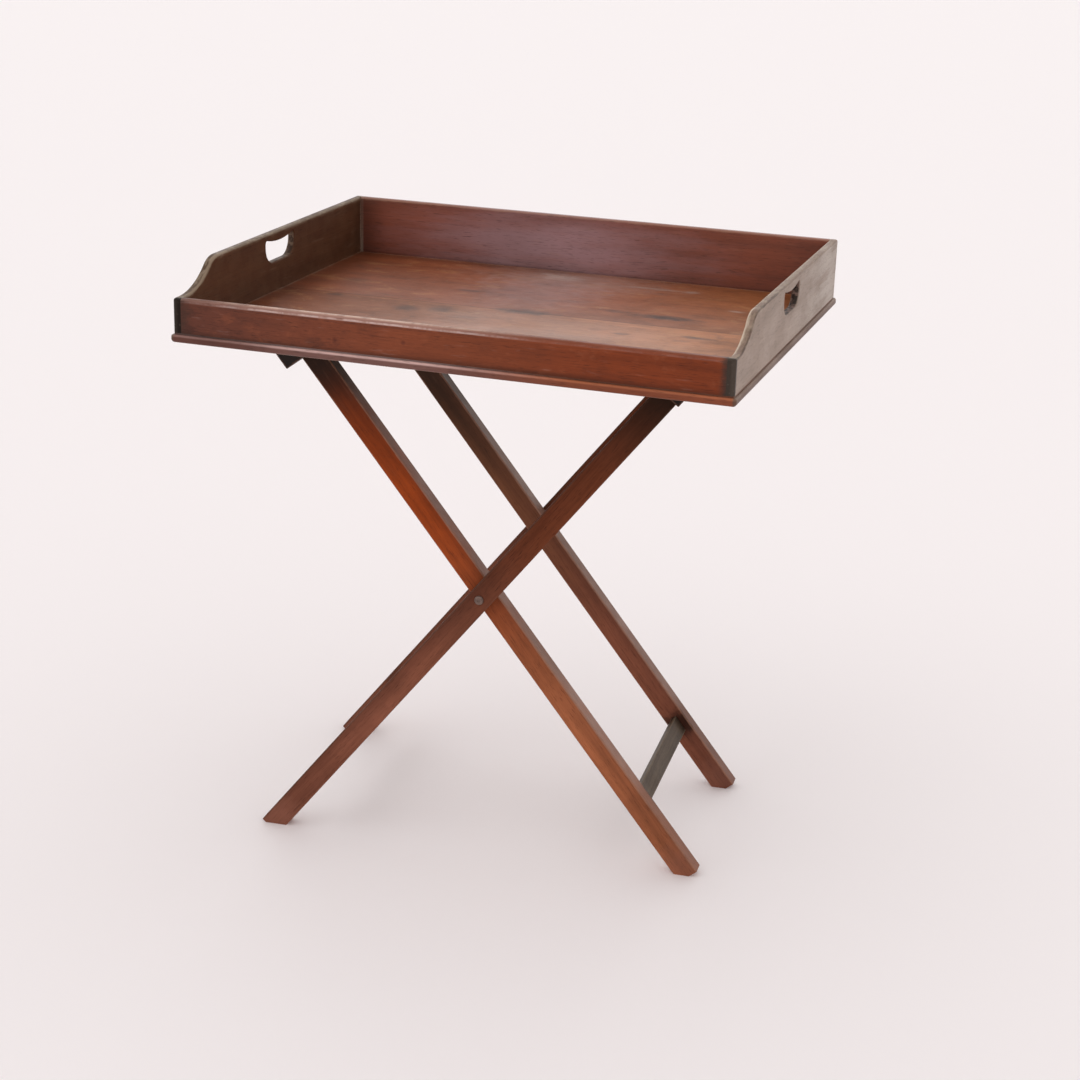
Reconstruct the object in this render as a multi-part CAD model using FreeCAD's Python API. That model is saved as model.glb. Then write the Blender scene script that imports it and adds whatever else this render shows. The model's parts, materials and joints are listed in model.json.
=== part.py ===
import FreeCAD, Part
import math
import os

from FreeCAD import Placement, Rotation, Vector

# Butler's tray table: a loose wooden tray with a raised gallery on a folding stand of two crossed
# leg frames. Millimetres. X runs along the tray to the right, Y from its front to its back, Z up.
# The origin is on the floor under the middle of the tray.

# Tray base
tray_length = 760.0            # over the gallery, end to end
tray_depth = 610.0             # over the gallery, front to back
base_thickness = 13.0
base_step = 2.0                # upright edge between the gallery and the nosing
base_overhang = 3.5            # the nosing stands out this far beyond the gallery
nose_top_share = 0.9           # the nosing's upper rounding, as a part of the overhang
base_nose_under = 5.0          # radius under the nosing
base_corner_radius = 4.0       # the base's corners, seen from above
base_joint_from_front = 315.0  # gallery's front face to the joint between the two base boards
base_tongue_thickness = 4.0
base_tongue_depth = 5.0

# Tray gallery
end_thickness = 11.0
rail_thickness = 12.0
end_height = 85.0              # ends and back rail, above the base
front_rail_height = 46.5       # above the base
ogee_run = 100.0               # length of the fall from the ends' top to the front rail
ogee_shoulder_share = 0.25     # the rounded shoulder's part of the ogee, the hollow has the rest
rail_outer_round = 4.0         # worn outer top edges of the rails
rail_inner_round = 3.0         # worn inner top edges of the rails
end_round = 3.0                # worn edges of the ends
tongue_depth = 5.0             # the rails' tongues enter the ends this far
tongue_thickness = 5.0
tongue_stop = 9.0              # the tongues end this far below the rails' top edges

# Hand holes in the tray ends
hole_length = 94.0
hole_height = 33.0
hole_cover = 10.0              # wood over the hole's two ears
hole_corner_radius = 24.0      # lower corners
hole_ear_radius = 5.0          # upper corners
hole_dip = 5.0                 # the upper edge bulges down by this much in its middle
hole_round = 2.5               # worn edges
hole_shift = 2.0               # the holes' middle lies this far behind the middle of the ends

# Nails and screws in the tray
brad_radius = 0.9
brad_head_radius = 1.7
brad_head_height = 0.8
brad_grip = 22.0               # length driven into the rail
front_brad_shares = (0.3, 0.7)
back_brad_shares = (0.2, 0.5, 0.8)
screw_radius = 2.0
screw_head_radius = 3.4
screw_grip = 18.0              # length driven into the gallery
long_screw_shares = (-0.8, 0.0, 0.8)
short_screw_shares = (-0.6, 0.6)

# Stand: legs
stand_turn = 4.0               # degrees; the tray has been set down a little askew on the stand
leg_lean = 38.3                # degrees from upright, both frames
leg_width = 32.0               # across the leg, in the plane of the X
leg_thickness = 24.0
leg_round = 2.0
pivot_to_sole = 492.5          # along the leg
inner_toe_overrun = 1.5        # the legs' square-cut ends lie this far past the middle of the sole,
outer_toe_overrun = 7.0        # and the inner legs are more worn
pivot_to_rail = 407.0          # along the leg
inner_frame_width = 321.0      # over the inner frame's two legs

# Stand: top rails and stretchers
top_rail_length = 423.0
top_rail_width = 39.0
top_rail_depth = 49.0          # outer face, from the legs' shoulders to the flat top
top_rail_round = 1.5
leg_tenon_thickness = 12.0
leg_tenon_shoulder = 4.0       # each side, across the leg
leg_tenon_cover = 4.5          # wood left over the tenon's end
stretcher_below_pivot = 369.5  # along the leg
stretcher_width = 27.0         # along the leg
stretcher_thickness = 9.0
stretcher_round = 1.0
stretcher_housing = 10.0       # the stretcher enters each leg this far

# Stand: pivots
bolt_radius = 3.5
bolt_head_radius = 6.4
bolt_head_height = 2.4
bolt_head_round = 1.0
bolt_dimple_radius = 2.5       # in the middle of the head
bolt_dimple_depth = 1.0
bolt_clearance = 0.05          # radial, in the inner legs, which turn on the bolts
bolt_tail = 1.5                # thread left standing out of the nut
spacer_radius = 9.0
spacer_thickness = 1.5
burr_radius = 8.0
burr_thickness = 1.5
nut_width = 12.0
nut_thickness = 5.5

# Stand: straps
strap_width = 50.0
strap_thickness = 2.0
strap_spacing = 240.0          # between the two straps' middles
strap_end_length = 28.0        # turned down over the rail's outer face
tack_radius = 0.8
tack_head_radius = 2.8
tack_head_height = 1.0
tack_grip = 9.0                # length driven into the rail
tack_width_shares = (-0.32, 0.0, 0.32)
tack_drop_share = 0.5

# Modelling values
cut_overrun = 5.0              # cutters run past what they cut
round_wall_share = 0.45        # a rounding takes at most this much of the wall it is on
hole_side_share = 0.95         # a hand hole's lower corners take at most this much of its sides

# Places worked out from the sizes
lean = math.radians(leg_lean)
pivot_height = pivot_to_sole * math.cos(lean)
rail_half = top_rail_width / 2
rail_top = pivot_to_rail + top_rail_depth
seat_height = pivot_height + rail_top * math.cos(lean) - rail_half * math.sin(lean)
seat_reach = rail_top * math.sin(lean) + rail_half * math.cos(lean)
base_bottom = seat_height + strap_thickness
gallery_bottom = base_bottom + base_thickness
end_outer = tray_length / 2
end_inner = end_outer - end_thickness
front_face = -tray_depth / 2
back_face = tray_depth / 2
front_inner = front_face + rail_thickness
back_inner = back_face - rail_thickness
front_top = gallery_bottom + front_rail_height
end_top = gallery_bottom + end_height
inner_leg_outside = inner_frame_width / 2
inner_leg_inside = inner_leg_outside - leg_thickness
outer_leg_inside = inner_leg_outside + spacer_thickness
outer_leg_outside = outer_leg_inside + leg_thickness
edge_outer = min(rail_outer_round, rail_thickness * round_wall_share)
edge_inner = min(rail_inner_round, rail_thickness * round_wall_share)
gallery_corner = min(end_round, edge_outer, end_thickness * round_wall_share)

AXIS_X = Vector(1, 0, 0)
AXIS_Y = Vector(0, 1, 0)
AXIS_Z = Vector(0, 0, 1)


def box(low, high):
    """A box between two corners."""
    size = high - low
    return Part.makeBox(size.x, size.y, size.z, low)


def line(start, end):
    """A straight edge."""
    return Part.makeLine(start, end)


def arc(centre, radius, start, end):
    """An arc in a plane of constant X, from one angle to another, in degrees from +Y towards +Z."""
    middle = (start + end) / 2
    points = [
        centre + Vector(0, radius * math.cos(math.radians(a)), radius * math.sin(math.radians(a)))
        for a in (start, middle, end)
    ]
    return Part.Arc(*points).toShape()


def extrude(edges, vector):
    """A closed outline carried along a vector."""
    return Part.Face(Part.Wire(edges)).extrude(vector)


def rounded(solid, radius, chosen):
    """The solid with the chosen edges rounded."""
    return solid.makeFillet(radius, [edge for edge in solid.Edges if chosen(edge)])


def runs_along(edge, axis):
    """Whether an edge is straight and parallel to an axis."""
    if not isinstance(edge.Curve, Part.Line):
        return False
    return abs(abs(edge.Curve.Direction.dot(axis)) - 1) < Part.Precision.confusion()


def lies_in(edge, x):
    """Whether a whole edge lies in the plane of a given X."""
    bounds = edge.BoundBox
    return max(abs(bounds.XMin - x), abs(bounds.XMax - x)) < Part.Precision.approximation()


def cut_all(solid, cutters):
    """The solid with every cutter's space taken out of it."""
    return solid.cut(cutters) if cutters else solid


def mirrored(shape, axis):
    """The shape mirrored through the plane that faces an axis."""
    return shape.mirror(Vector(0, 0, 0), axis)


def base_slab():
    """The tray's whole base before it is divided into two boards: a nosing, a step under the gallery."""
    half_length = end_outer + base_overhang
    half_depth = back_face + base_overhang
    nose_height = base_thickness - base_step
    nose_level = base_bottom + nose_height
    nose = box(Vector(-half_length, -half_depth, base_bottom), Vector(half_length, half_depth, nose_level))
    nose = rounded(nose, base_corner_radius, lambda edge: runs_along(edge, AXIS_Z))
    nose_top = min(base_overhang * nose_top_share, nose_height * round_wall_share)
    nose_under = min(base_nose_under, nose_height * round_wall_share)
    nose = rounded(nose, nose_top, lambda edge: edge.BoundBox.ZMin > nose_level - nose_top)
    nose = rounded(nose, nose_under, lambda edge: edge.BoundBox.ZMax < base_bottom + nose_under)
    plate = box(
        Vector(-end_outer, front_face, base_bottom + nose_height / 2),
        Vector(end_outer, back_face, gallery_bottom),
    )
    plate = rounded(plate, gallery_corner, lambda edge: runs_along(edge, AXIS_Z))
    return nose.fuse(plate).removeSplitter()


def base_boards(screws):
    """The front and rear base boards, joined by a tongue on the rear one."""
    slab = base_slab()
    joint = front_face + base_joint_from_front
    reach = end_outer + base_overhang + cut_overrun
    rear_half = box(
        Vector(-reach, joint, base_bottom - cut_overrun),
        Vector(reach, back_face + base_overhang + cut_overrun, gallery_bottom + cut_overrun),
    )
    middle = base_bottom + base_thickness / 2
    tongue = box(
        Vector(-reach, joint - base_tongue_depth, middle - base_tongue_thickness / 2),
        Vector(reach, joint, middle + base_tongue_thickness / 2),
    ).common(slab)
    front = slab.cut(rear_half).cut(tongue)
    rear = slab.common(rear_half).fuse(tongue).removeSplitter()
    return cut_all(front, screws), cut_all(rear, screws)


def rail(face, inner, height, tongues):
    """A gallery rail between the tray ends, with its rounded top edge and its end tongues."""
    top = gallery_bottom + height
    inward = 1 if inner > face else -1
    start = Vector(-end_inner, 0, 0)
    outer_angles = (180, 90) if inward > 0 else (0, 90)
    inner_angles = (90, 0) if inward > 0 else (90, 180)
    outer_centre = start + Vector(0, face + inward * edge_outer, top - edge_outer)
    inner_centre = start + Vector(0, inner - inward * edge_inner, top - edge_inner)
    foot_outer = start + Vector(0, face, gallery_bottom)
    foot_inner = start + Vector(0, inner, gallery_bottom)
    outer_arc = arc(outer_centre, edge_outer, *outer_angles)
    inner_arc = arc(inner_centre, edge_inner, *inner_angles)
    edges = [
        line(foot_inner, foot_outer),
        line(foot_outer, start + Vector(0, face, top - edge_outer)),
        outer_arc,
        line(start + Vector(0, face + inward * edge_outer, top),
             start + Vector(0, inner - inward * edge_inner, top)),
        inner_arc,
        line(start + Vector(0, inner, top - edge_inner), foot_inner),
    ]
    body = extrude(edges, Vector(2 * end_inner, 0, 0))
    return body.fuse(tongues).removeSplitter()


def rail_tongues(face, inner, height):
    """The two tongues on a gallery rail's ends, flush with its inner face."""
    inward = 1 if inner > face else -1
    near, far = sorted((inner - inward * tongue_thickness, inner))
    left = box(
        Vector(-end_inner - tongue_depth, near, gallery_bottom),
        Vector(-end_inner, far, gallery_bottom + height - tongue_stop),
    )
    return [left, mirrored(left, AXIS_X)]


def end_outline(x):
    """The outline of a tray end: level at the back, then an ogee down to the front rail."""
    drop = end_height - front_rail_height
    turn = 2 * math.atan2(drop, ogee_run)
    radii = ogee_run / math.sin(turn)
    shoulder = radii * ogee_shoulder_share
    hollow = radii - shoulder
    ogee_high = front_inner + ogee_run
    turn_degrees = math.degrees(turn)
    return [
        line(Vector(x, front_face, gallery_bottom), Vector(x, back_face, gallery_bottom)),
        line(Vector(x, back_face, gallery_bottom), Vector(x, back_face, end_top - edge_outer)),
        arc(Vector(x, back_face - edge_outer, end_top - edge_outer), edge_outer, 0, 90),
        line(Vector(x, back_face - edge_outer, end_top), Vector(x, ogee_high, end_top)),
        arc(Vector(x, ogee_high, end_top - shoulder), shoulder, 90, 90 + turn_degrees),
        arc(Vector(x, front_inner, front_top + hollow), hollow, -90 + turn_degrees, -90),
        line(Vector(x, front_inner, front_top), Vector(x, front_face + edge_outer, front_top)),
        arc(Vector(x, front_face + edge_outer, front_top - edge_outer), edge_outer, 90, 180),
        line(Vector(x, front_face, front_top - edge_outer), Vector(x, front_face, gallery_bottom)),
    ]


def hand_hole(x, middle):
    """The outline of a hand hole: round below, two ears above, and an upper edge that dips between."""
    top = end_top - hole_cover
    bottom = top - hole_height
    half = hole_length / 2
    ear_y = half - hole_ear_radius
    ear_z = top - hole_ear_radius
    corner = min(hole_corner_radius, (ear_z - bottom) * hole_side_share)
    corner_y = half - corner
    corner_z = bottom + corner
    centres_apart = (ear_y ** 2 + hole_dip ** 2) / (2 * hole_dip)
    dip_radius = centres_apart - hole_ear_radius
    dip_z = top - hole_dip + dip_radius
    ear_turn = math.degrees(math.atan2(dip_z - ear_z, -ear_y))
    return [
        line(Vector(x, middle - corner_y, bottom), Vector(x, middle + corner_y, bottom)),
        arc(Vector(x, middle + corner_y, corner_z), corner, -90, 0),
        line(Vector(x, middle + half, corner_z), Vector(x, middle + half, ear_z)),
        arc(Vector(x, middle + ear_y, ear_z), hole_ear_radius, 0, ear_turn),
        arc(Vector(x, middle, dip_z), dip_radius, ear_turn - 180, -ear_turn),
        arc(Vector(x, middle - ear_y, ear_z), hole_ear_radius, 180 - ear_turn, 180),
        line(Vector(x, middle - half, ear_z), Vector(x, middle - half, corner_z)),
        arc(Vector(x, middle - corner_y, corner_z), corner, 180, 270),
    ]


def end_blank():
    """A tray end on the left, with its rounded edges and hand hole, before housings and nail holes."""
    board = extrude(end_outline(-end_outer), Vector(end_thickness, 0, 0))
    wall_round = end_thickness * round_wall_share
    board = rounded(
        board, gallery_corner,
        lambda edge: lies_in(edge, -end_outer) and edge.BoundBox.ZMax > gallery_bottom + cut_overrun,
    )
    between_rails = box(
        Vector(-end_outer - cut_overrun, front_inner, gallery_bottom - cut_overrun),
        Vector(-end_inner + cut_overrun, back_inner, end_top + cut_overrun),
    )
    middle = rounded(
        board.common(between_rails), min(end_round, wall_round),
        lambda edge: lies_in(edge, -end_inner) and edge.BoundBox.ZMin > front_top - cut_overrun
        and not runs_along(edge, AXIS_Z),
    )
    board = board.cut(between_rails).fuse(middle).removeSplitter()
    outline = hand_hole(-end_outer - cut_overrun, hole_shift)
    hole = extrude(outline, Vector(end_thickness + 2 * cut_overrun, 0, 0))
    room = hole.BoundBox
    return rounded(
        board.cut(hole), min(hole_round, wall_round),
        lambda edge: (lies_in(edge, -end_outer) or lies_in(edge, -end_inner))
        and room.isInside(edge.BoundBox.Center),
    )


def nail(radius, head_radius, head_height, length):
    """A flat-headed nail along +X, with the top of its head at the origin."""
    head = Part.makeCylinder(head_radius, head_height, Vector(0, 0, 0), AXIS_X)
    shank = Part.makeCylinder(radius, length, Vector(0, 0, 0), AXIS_X)
    return head.fuse(shank).removeSplitter()


def corner_brads():
    """The nails through the left tray end, and their mirror images in the right one."""
    left = []
    rows = (
        ((front_face + front_inner) / 2, front_rail_height, front_brad_shares),
        ((back_face + back_inner) / 2, end_height, back_brad_shares),
    )
    for y, height, shares in rows:
        for share in shares:
            brad = nail(brad_radius, brad_head_radius, brad_head_height, end_thickness + brad_grip)
            brad.translate(Vector(-end_outer, y, gallery_bottom + height * share))
            left.append(brad)
    return left + [mirrored(brad, AXIS_X) for brad in left]


def base_screws():
    """Countersunk screws from under the base up into the rails and the ends."""
    places = []
    for y in ((front_face + front_inner) / 2, (back_face + back_inner) / 2):
        places += [(end_inner * share, y) for share in long_screw_shares]
    for x in (-(end_outer + end_inner) / 2, (end_outer + end_inner) / 2):
        places += [(x, back_inner * share) for share in short_screw_shares]
    screws = []
    for x, y in places:
        foot = Vector(x, y, base_bottom)
        head = Part.makeCone(screw_head_radius, screw_radius, screw_head_radius - screw_radius, foot)
        shank = Part.makeCylinder(screw_radius, base_thickness + screw_grip, foot)
        screws.append(head.fuse(shank).removeSplitter())
    return screws


def leaned(shape, side):
    """A piece of a leg frame, modelled upright about its pivot, set in its place in the stand."""
    placed = shape.copy()
    placed.Placement = Placement(
        Vector(0, 0, pivot_height), Rotation(AXIS_Y, side * leg_lean)
    ).multiply(placed.Placement)
    return placed


def turned(shape):
    """A piece of the stand, turned with the whole stand under the tray."""
    placed = shape.copy()
    placed.Placement = Placement(Vector(0, 0, 0), Rotation(AXIS_Z, stand_turn)).multiply(placed.Placement)
    return placed


def stretcher(leg_inside):
    """A lath between two legs, modelled upright about the pivot."""
    half = leg_inside + stretcher_housing
    low = Vector(-stretcher_thickness / 2, -half, -stretcher_below_pivot - stretcher_width / 2)
    lath = box(low, Vector(stretcher_thickness / 2, half, -stretcher_below_pivot + stretcher_width / 2))
    return rounded(lath, stretcher_round, lambda edge: runs_along(edge, AXIS_Y))


def leg_tenon(middle):
    """The tenon on a leg's top, modelled upright about the pivot."""
    half = leg_width / 2 - leg_tenon_shoulder
    room = top_rail_depth - (rail_half + half) * math.tan(lean)
    return box(
        Vector(-half, middle - leg_tenon_thickness / 2, pivot_to_rail),
        Vector(half, middle + leg_tenon_thickness / 2, pivot_to_rail + room - leg_tenon_cover),
    )


def leg(middle, side, lath, pivot_radius, toe_overrun):
    """A leg with its tenon, its pivot hole and its stretcher's housing, its sole flat on the floor."""
    low = Vector(-leg_width / 2, middle - leg_thickness / 2, -pivot_to_sole - toe_overrun)
    body = box(low, Vector(leg_width / 2, middle + leg_thickness / 2, pivot_to_rail))
    body = rounded(body, leg_round, lambda edge: runs_along(edge, AXIS_Z))
    pivot = Part.makeCylinder(
        pivot_radius, leg_thickness + 2 * cut_overrun,
        Vector(0, middle - leg_thickness / 2 - cut_overrun, 0), AXIS_Y,
    )
    body = leaned(body.fuse(leg_tenon(middle)).removeSplitter().cut([pivot, lath]), side)
    reach = pivot_to_sole
    floor = box(Vector(-reach, -reach, -reach), Vector(reach, reach, 0))
    return body.cut(floor)


def top_rail(middles, side, tacks):
    """A frame's top rail: square to the legs below, cut level above, where the straps lie on it."""
    half_length = top_rail_length / 2
    blank = box(
        Vector(-rail_half, -half_length, pivot_to_rail),
        Vector(rail_half, half_length, rail_top + cut_overrun),
    )
    blank = leaned(blank, side)
    reach = seat_reach + top_rail_width
    above = box(
        Vector(-reach, -half_length - cut_overrun, seat_height),
        Vector(reach, half_length + cut_overrun, seat_height + top_rail_depth),
    )
    body = rounded(blank.cut(above), top_rail_round, lambda edge: runs_along(edge, AXIS_Y))
    return body.cut([leaned(leg_tenon(middle), side) for middle in middles] + tacks)


def strap_tacks(side):
    """The tacks through the turned-down strap ends of one frame."""
    tacks = []
    for middle in (-strap_spacing / 2, strap_spacing / 2):
        for share in tack_width_shares:
            tack = nail(tack_radius, tack_head_radius, tack_head_height,
                        tack_head_height + strap_thickness + tack_grip)
            tack.Placement = Placement(
                Vector(
                    rail_half + strap_thickness + tack_head_height,
                    middle + strap_width * share,
                    rail_top - strap_end_length * tack_drop_share,
                ),
                Rotation(AXIS_Z, 180),
            )
            tacks.append(leaned(tack if side > 0 else mirrored(tack, AXIS_X), side))
    return tacks


def strap_ends(side, tacks):
    """The ends of the two straps, turned down over one rail's outer face."""
    ends = []
    for middle in (-strap_spacing / 2, strap_spacing / 2):
        end = box(
            Vector(rail_half, middle - strap_width / 2, rail_top - strap_end_length),
            Vector(rail_half + strap_thickness, middle + strap_width / 2, rail_top),
        )
        end = leaned(end if side > 0 else mirrored(end, AXIS_X), side)
        ends.append(end.cut(tacks))
    return ends


def strap_span(middle):
    """A strap's level span from one rail's outer edge to the other's."""
    return box(
        Vector(-seat_reach, middle - strap_width / 2, seat_height),
        Vector(seat_reach, middle + strap_width / 2, base_bottom),
    )


def bolt_head():
    """A flat round head on the XZ plane, rising along -Y, with a worn rim and a dimple in its middle."""
    disc = Part.makeCylinder(bolt_head_radius, bolt_head_height, Vector(0, 0, 0), -AXIS_Y)
    disc = rounded(
        disc, min(bolt_head_round, bolt_head_height * round_wall_share),
        lambda edge: edge.BoundBox.YMax < -bolt_head_height * round_wall_share,
    )
    dimple = Part.makeCylinder(
        bolt_dimple_radius, bolt_dimple_depth + cut_overrun,
        Vector(0, -bolt_head_height + bolt_dimple_depth, 0), -AXIS_Y,
    )
    return disc.cut(dimple)


def ring(outer, inner, start, end):
    """A flat ring about the Y axis between two places on it."""
    disc = Part.makeCylinder(outer, end - start, Vector(0, start, 0), AXIS_Y)
    bore = Part.makeCylinder(inner, end - start + 2 * cut_overrun, Vector(0, start - cut_overrun, 0), AXIS_Y)
    return disc.cut(bore)


def pivot_set():
    """The front pivot: a round-headed bolt, the spacer between the legs, a burr and a square nut."""
    burr_start = -inner_leg_inside
    nut_start = burr_start + burr_thickness
    bolt_end = nut_start + nut_thickness + bolt_tail
    head = bolt_head()
    head.translate(Vector(0, -outer_leg_outside, 0))
    shank = Part.makeCylinder(
        bolt_radius, bolt_end + outer_leg_outside, Vector(0, -outer_leg_outside, 0), AXIS_Y)
    bolt = head.fuse(shank).removeSplitter()
    spacer = ring(spacer_radius, bolt_radius, -outer_leg_inside, -inner_leg_outside)
    burr = ring(burr_radius, bolt_radius, burr_start, nut_start)
    nut = box(
        Vector(-nut_width / 2, nut_start, -nut_width / 2),
        Vector(nut_width / 2, nut_start + nut_thickness, nut_width / 2),
    ).cut(Part.makeCylinder(bolt_radius, nut_thickness, Vector(0, nut_start, 0), AXIS_Y))
    return bolt, spacer, burr, nut


def tray_nodes():
    """Every piece of the tray."""
    brads = corner_brads()
    screws = base_screws()
    front_tongues = rail_tongues(front_face, front_inner, front_rail_height)
    back_tongues = rail_tongues(back_face, back_inner, end_height)
    front = rail(front_face, front_inner, front_rail_height, front_tongues)
    back = rail(back_face, back_inner, end_height, back_tongues)
    left = end_blank()
    right = mirrored(left, AXIS_X)
    board_front, board_rear = base_boards(screws)
    fixings = brads + screws
    housings = front_tongues + back_tongues
    return {
        "base_board_front": board_front,
        "base_board_rear": board_rear,
        "front_rail": cut_all(front, fixings),
        "back_rail": cut_all(back, fixings),
        "left_end": cut_all(left, housings + fixings),
        "right_end": cut_all(right, housings + fixings),
        "corner_brads": Part.makeCompound(brads),
        "base_screws": Part.makeCompound(screws),
    }


def frame_nodes(name, side, leg_inside, pivot_radius, toe_overrun):
    """One leg frame: two legs, a top rail, a stretcher, and the strap ends nailed to the rail."""
    middle = leg_inside + leg_thickness / 2
    lath = stretcher(leg_inside)
    tacks = strap_tacks(side)
    return {
        name + "_leg_front": leg(-middle, side, lath, pivot_radius, toe_overrun),
        name + "_leg_rear": leg(middle, side, lath, pivot_radius, toe_overrun),
        name + "_top_rail": top_rail((-middle, middle), side, tacks),
        name + "_stretcher": leaned(lath, side),
        name + "_strap_ends": Part.makeCompound(strap_ends(side, tacks)),
        name + "_strap_tacks": Part.makeCompound(tacks),
    }


def pivot_nodes():
    """The two pivots, which stay with the outer frame."""
    fronts = pivot_set()
    rears = [mirrored(piece, AXIS_Y) for piece in fronts]
    pairs = [[leaned(front, 1), leaned(rear, 1)] for front, rear in zip(fronts, rears)]
    return {
        "pivot_bolt_front": pairs[0][0],
        "pivot_bolt_rear": pairs[0][1],
        "pivot_spacers": Part.makeCompound(pairs[1]),
        "pivot_burrs": Part.makeCompound(pairs[2]),
        "pivot_nuts": Part.makeCompound(pairs[3]),
    }


def stand_nodes():
    """Every piece of the stand, turned under the tray."""
    inner_pivot = bolt_radius + bolt_clearance
    nodes = frame_nodes("outer", 1, outer_leg_inside, bolt_radius, outer_toe_overrun)
    nodes.update(frame_nodes("inner", -1, inner_leg_inside, inner_pivot, inner_toe_overrun))
    nodes.update(pivot_nodes())
    nodes["front_strap"] = strap_span(-strap_spacing / 2)
    nodes["rear_strap"] = strap_span(strap_spacing / 2)
    return {name: turned(shape) for name, shape in nodes.items()}


def main():
    os.makedirs("parts", exist_ok=True)
    nodes = {**tray_nodes(), **stand_nodes()}
    for name, shape in nodes.items():
        shape.exportStep("parts/" + name + ".step")
        print(name, len(shape.Solids), "valid" if shape.isValid() else "NOT VALID")


main()
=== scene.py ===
"""Butler's tray table: the looks of an old waxed mahogany tray on its folding stand."""

import json
import math

import bpy
import numpy as np
from mathutils import Matrix, Vector


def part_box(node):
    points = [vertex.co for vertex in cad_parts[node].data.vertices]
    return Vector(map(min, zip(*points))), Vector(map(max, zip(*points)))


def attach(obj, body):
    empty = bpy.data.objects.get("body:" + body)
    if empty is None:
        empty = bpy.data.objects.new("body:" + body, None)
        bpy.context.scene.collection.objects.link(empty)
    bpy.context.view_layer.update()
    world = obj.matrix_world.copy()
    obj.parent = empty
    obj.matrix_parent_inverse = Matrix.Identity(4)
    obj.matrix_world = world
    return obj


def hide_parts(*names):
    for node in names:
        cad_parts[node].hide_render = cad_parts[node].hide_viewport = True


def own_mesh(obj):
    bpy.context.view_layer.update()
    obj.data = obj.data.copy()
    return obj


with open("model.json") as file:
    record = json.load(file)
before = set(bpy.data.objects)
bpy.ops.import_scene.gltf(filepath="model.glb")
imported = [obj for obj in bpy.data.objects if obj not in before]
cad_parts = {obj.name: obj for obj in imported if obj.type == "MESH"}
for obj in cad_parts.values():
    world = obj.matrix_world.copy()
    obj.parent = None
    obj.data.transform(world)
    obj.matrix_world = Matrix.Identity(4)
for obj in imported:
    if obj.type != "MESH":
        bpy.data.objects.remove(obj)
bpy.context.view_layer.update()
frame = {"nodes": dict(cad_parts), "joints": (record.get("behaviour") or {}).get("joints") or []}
nodes = frame["nodes"]
joints = {joint["name"]: joint for joint in frame["joints"]}

# Sizes of the table, in metres; angles in radians
TRAY_HALF = (0.380, 0.305)
FLOOR_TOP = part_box("front_rail")[0].z
BASE_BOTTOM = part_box("base_board_front")[0].z
END_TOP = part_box("left_end")[1].z
FRONT_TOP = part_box("front_rail")[1].z
RAIL_THICKNESS = 0.012
END_THICKNESS = 0.011
OGEE_RUN = 0.100
# The ogee's outline: shares of its run, from the front, and of its rise
OGEE_SHARES = ((0.19, 0.04), (0.375, 0.167), (0.5625, 0.393), (0.75, 0.75), (0.875, 0.944))
HAND_HOLE = (0.094, 0.033)
HAND_HOLE_COVER = 0.010
HAND_HOLE_Y = 0.002
HAND_HOLE_Z = END_TOP - HAND_HOLE_COVER - HAND_HOLE[1] / 2
BOARD_JOINT_Y = 0.010
LEAN = math.radians(38.3)
LEG_WIDTH = 0.032
LEG_THICKNESS = 0.024
LEG_OVER_PIVOT = 0.407
INNER_LEG_Y = 0.1485
OUTER_LEG_Y = 0.174
TOP_RAIL = (0.423, 0.039, 0.049)
STRETCHER_BELOW = 0.3695
STRETCHER_WIDTH = 0.027
STRETCHER_THICKNESS = 0.009
STRAP_WIDTH = 0.050
STRAP_THICKNESS = 0.002
STRAP_SPACING = 0.240
STRAP_END_LENGTH = 0.028
# The webbing: pitches of its threads and ribs, the ribs' slope, their swing as a share of half the
# thickness, and the rows of points along a strap and along a strap's end
WARP_PITCH = 0.0016
WEFT_PITCH = 0.0021
RIB_PITCH = 0.0042
RIB_SLOPE = 0.6
RIB_SWING = 0.09
STRAP_ROWS = 420
STRAP_END_ROWS = 24
# A board's half length for its worn edges runs past its ends by this much, so that its ends aren't worn
PAST_END = 0.05

# Lengths, places and directions that follow from these and from the joints
END_INSIDE = TRAY_HALF[0] - END_THICKNESS
RAIL_INSIDE = TRAY_HALF[1] - RAIL_THICKNESS
FRONT_HALF_HEIGHT = (FRONT_TOP - FLOOR_TOP) / 2
END_HALF_HEIGHT = (END_TOP - FLOOR_TOP) / 2
FRONT_MIDDLE = (FLOOR_TOP + FRONT_TOP) / 2
END_MIDDLE = (FLOOR_TOP + END_TOP) / 2
PIVOT = Vector(joints["stand_fold"]["pos_m"])
STAND_Y = Vector(joints["stand_fold"]["axis"]).normalized()
UP = Vector((0, 0, 1))
STAND_X = STAND_Y.cross(UP).normalized()
LEG_BELOW_PIVOT = PIVOT.z / math.cos(LEAN)
STRAP_HINGE = Vector(joints["strap_follow"]["pos_m"])

# The photograph's camera: place, yaw, pitch and roll in degrees, and its lens in pixels of its picture
CAMERA_PLACE = (0.9499, -2.7861, 1.4352)
CAMERA_TURNS = (18.1357, -19.1356, 1.7711)
LENS_PIXELS = 2155.64
PICTURE_PIXELS = 1080
SENSOR_WIDTH = 36.0
# The room: its tint, its level, how the level changes with direction, and a weak wide lamp
ROOM_TINT = (1.0, 0.985, 0.975, 1.0)
ROOM_LEVEL = 1.33
ROOM_SLOPE = (-0.07, 0.23, -0.60)
LAMP_ENERGY = 0.2
LAMP_ANGLE = math.radians(50)
LAMP_AHEAD = (0.45, 0.55, -1.0)
FLOOR_REACH = 30.0


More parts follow.
